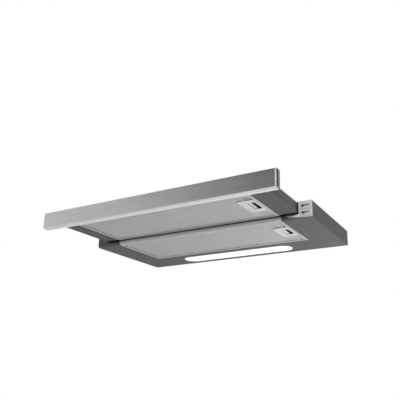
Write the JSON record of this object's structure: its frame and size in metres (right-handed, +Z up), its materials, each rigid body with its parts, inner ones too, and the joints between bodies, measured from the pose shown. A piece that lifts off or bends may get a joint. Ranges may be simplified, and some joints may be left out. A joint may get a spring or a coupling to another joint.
{
  "type": "pull out range hood",
  "caption": "Pull out range hood: brushed steel front, sliding filter drawer, fixed filter, lamp, and a motor housing with a round duct collar.",
  "frame": {"origin": "middle of the four cabinet screws, on the top face of the flat body", "axes": "+Z up into the cabinet, +X to the right along the front panel seen from the front, +Y from the front panel back to the rear wall"},
  "size_m": [0.598, 0.452, 0.1785],
  "materials": {
    "brushed_steel_panel": "fine horizontal brushing",
    "satin_frame_steel": "satin",
    "pan_silver_paint": "silver grey, satin",
    "filter_net": "satin expanded sheet",
    "filter_core_aluminium": "mill finish",
    "zinc_sheet": "galvanised sheet, dull",
    "drawer_sheet": "satin grey",
    "top_sheet_zinc": "bright sheet",
    "steel_screws": "bright zinc",
    "carriage_steel": "satin",
    "nylon_white": "natural nylon",
    "handle_plastic": "light grey, satin",
    "lever_plastic": "light grey, satin",
    "bolt_plastic": "dark grey",
    "opal_lens": "opal, softly shining",
    "light_board": "white board",
    "white_plastic": "matte",
    "backing_silver": "silver, satin",
    "cap_grey_plastic": "steel grey, satin",
    "control_plate_grey": "silver grey, satin",
    "black_plastic": "matte black",
    "blower_plastic": "dark grey",
    "motor_metal": "cast, matte",
    "capacitor_case": "light grey",
    "bush_rubber": "matte",
    "button_red": "matte"
  },
  "bodies": {
    "hood_body": {"shell_pan": "pan_silver_paint", "shell_top": "zinc_sheet", "rail_left": "zinc_sheet", "rail_right": "zinc_sheet", "lamp_tray": "zinc_sheet", "led_board": "light_board", "led_driver": "white_plastic", "lamp_diffuser": "opal_lens", "diffuser_screws": "steel_screws", "control_plate": "control_plate_grey", "switch_block": "control_plate_grey", "door_switch": "black_plastic", "motor_box": "zinc_sheet", "housing_screws": "steel_screws", "scroll_lower": "blower_plastic", "scroll_upper": "blower_plastic", "inlet_guard": "steel_screws", "motor": "motor_metal", "motor_bushes": "bush_rubber", "motor_screws": "steel_screws", "capacitor": "capacitor_case", "terminal_box": "black_plastic", "terminal_cover": "black_plastic", "cable_gland": "black_plastic", "outlet_collar": "black_plastic", "damper_pin": "steel_screws"},
    "drawer": {"front_panel": "brushed_steel_panel", "panel_backing": "backing_silver", "panel_cap_left": "cap_grey_plastic", "panel_cap_right": "cap_grey_plastic", "panel_screws": "steel_screws", "drawer_tray": "drawer_sheet", "drawer_top": "top_sheet_zinc", "drawer_rear_bar": "drawer_sheet", "carriage_left": "carriage_steel", "carriage_right": "carriage_steel"},
    "left_front_roller": {"roller_left_front": "nylon_white"},
    "left_rear_roller": {"roller_left_rear": "nylon_white"},
    "right_front_roller": {"roller_right_front": "nylon_white"},
    "right_rear_roller": {"roller_right_rear": "nylon_white"},
    "front_filter": {"front_filter_frame": "satin_frame_steel", "front_filter_mesh": "filter_net", "front_filter_core": "filter_core_aluminium", "front_filter_handle": "handle_plastic"},
    "front_latch": {"front_filter_lever": "lever_plastic", "front_filter_bolt": "bolt_plastic"},
    "rear_filter": {"rear_filter_frame": "satin_frame_steel", "rear_filter_mesh": "filter_net", "rear_filter_core": "filter_core_aluminium", "rear_filter_handle": "handle_plastic"},
    "rear_latch": {"rear_filter_lever": "lever_plastic", "rear_filter_bolt": "bolt_plastic"},
    "speed_switch": {"speed_knob": "black_plastic"},
    "light_switch": {"light_knob": "black_plastic"},
    "switch_button": {"switch_plunger": "button_red"},
    "fan_wheel": {"impeller": "blower_plastic", "impeller_disc": "blower_plastic", "motor_shaft": "steel_screws"},
    "left_flap": {"damper_flap_left": "black_plastic"},
    "right_flap": {"damper_flap_right": "black_plastic"}
  },
  "joints": [
    {"name": "drawer_slide", "type": "slide", "parent": "hood_body", "child": "drawer", "axis": [0, 1, 0], "range_m": [0, 0.1685]},
    {"name": "left_front_spin", "type": "hinge", "parent": "drawer", "child": "left_front_roller", "pos_m": [-0.2767, -0.109, -0.0148], "axis": [1, 0, 0], "range_deg": [-1610, 0]},
    {"name": "left_rear_spin", "type": "hinge", "parent": "drawer", "child": "left_rear_roller", "pos_m": [-0.2767, -0.065, -0.0148], "axis": [1, 0, 0], "range_deg": [-1610, 0]},
    {"name": "right_front_spin", "type": "hinge", "parent": "drawer", "child": "right_front_roller", "pos_m": [0.2767, -0.109, -0.0148], "axis": [1, 0, 0], "range_deg": [-1610, 0]},
    {"name": "right_rear_spin", "type": "hinge", "parent": "drawer", "child": "right_rear_roller", "pos_m": [0.2767, -0.065, -0.0148], "axis": [1, 0, 0], "range_deg": [-1610, 0]},
    {"name": "front_filter_hinge", "type": "hinge", "parent": "drawer", "child": "front_filter", "pos_m": [-0.225, -0.2174, -0.0268], "axis": [0, -1, 0], "range_deg": [-60, 0]},
    {"name": "rear_filter_hinge", "type": "hinge", "parent": "hood_body", "child": "rear_filter", "pos_m": [-0.227, -0.0465, -0.038], "axis": [0, -1, 0], "range_deg": [-60, 0]},
    {"name": "front_latch_slide", "type": "slide", "parent": "front_filter", "child": "front_latch", "axis": [1, 0, 0], "range_m": [-0.005, 0], "stiffness_N_per_m": 200},
    {"name": "rear_latch_slide", "type": "slide", "parent": "rear_filter", "child": "rear_latch", "axis": [1, 0, 0], "range_m": [-0.005, 0], "stiffness_N_per_m": 200},
    {"name": "speed_slide", "type": "slide", "parent": "hood_body", "child": "speed_switch", "axis": [1, 0, 0], "range_m": [0, 0.012]},
    {"name": "light_slide", "type": "slide", "parent": "hood_body", "child": "light_switch", "axis": [1, 0, 0], "range_m": [0, 0.012]},
    {"name": "button_slide", "type": "slide", "parent": "hood_body", "child": "switch_button", "axis": [0, 1, 0], "range_m": [0, 0.0025], "stiffness_N_per_m": 300},
    {"name": "fan_spin", "type": "hinge", "parent": "hood_body", "child": "fan_wheel", "pos_m": [0.054, 0.008, 0.07], "axis": [0, 0, 1], "continuous": true},
    {"name": "left_flap_hinge", "type": "hinge", "parent": "hood_body", "child": "left_flap", "pos_m": [-0.085, 0.045, 0.0994], "axis": [0, 1, 0], "range_deg": [0, 70]},
    {"name": "right_flap_hinge", "type": "hinge", "parent": "hood_body", "child": "right_flap", "pos_m": [-0.085, 0.045, 0.0994], "axis": [0, -1, 0], "range_deg": [0, 70]}
  ],
  "couplings": [
    {"joint": "left_front_spin", "follows": "drawer_slide", "rad_per_m": -166.67},
    {"joint": "left_rear_spin", "follows": "drawer_slide", "rad_per_m": -166.67},
    {"joint": "right_front_spin", "follows": "drawer_slide", "rad_per_m": -166.67},
    {"joint": "right_rear_spin", "follows": "drawer_slide", "rad_per_m": -166.67}
  ]
}
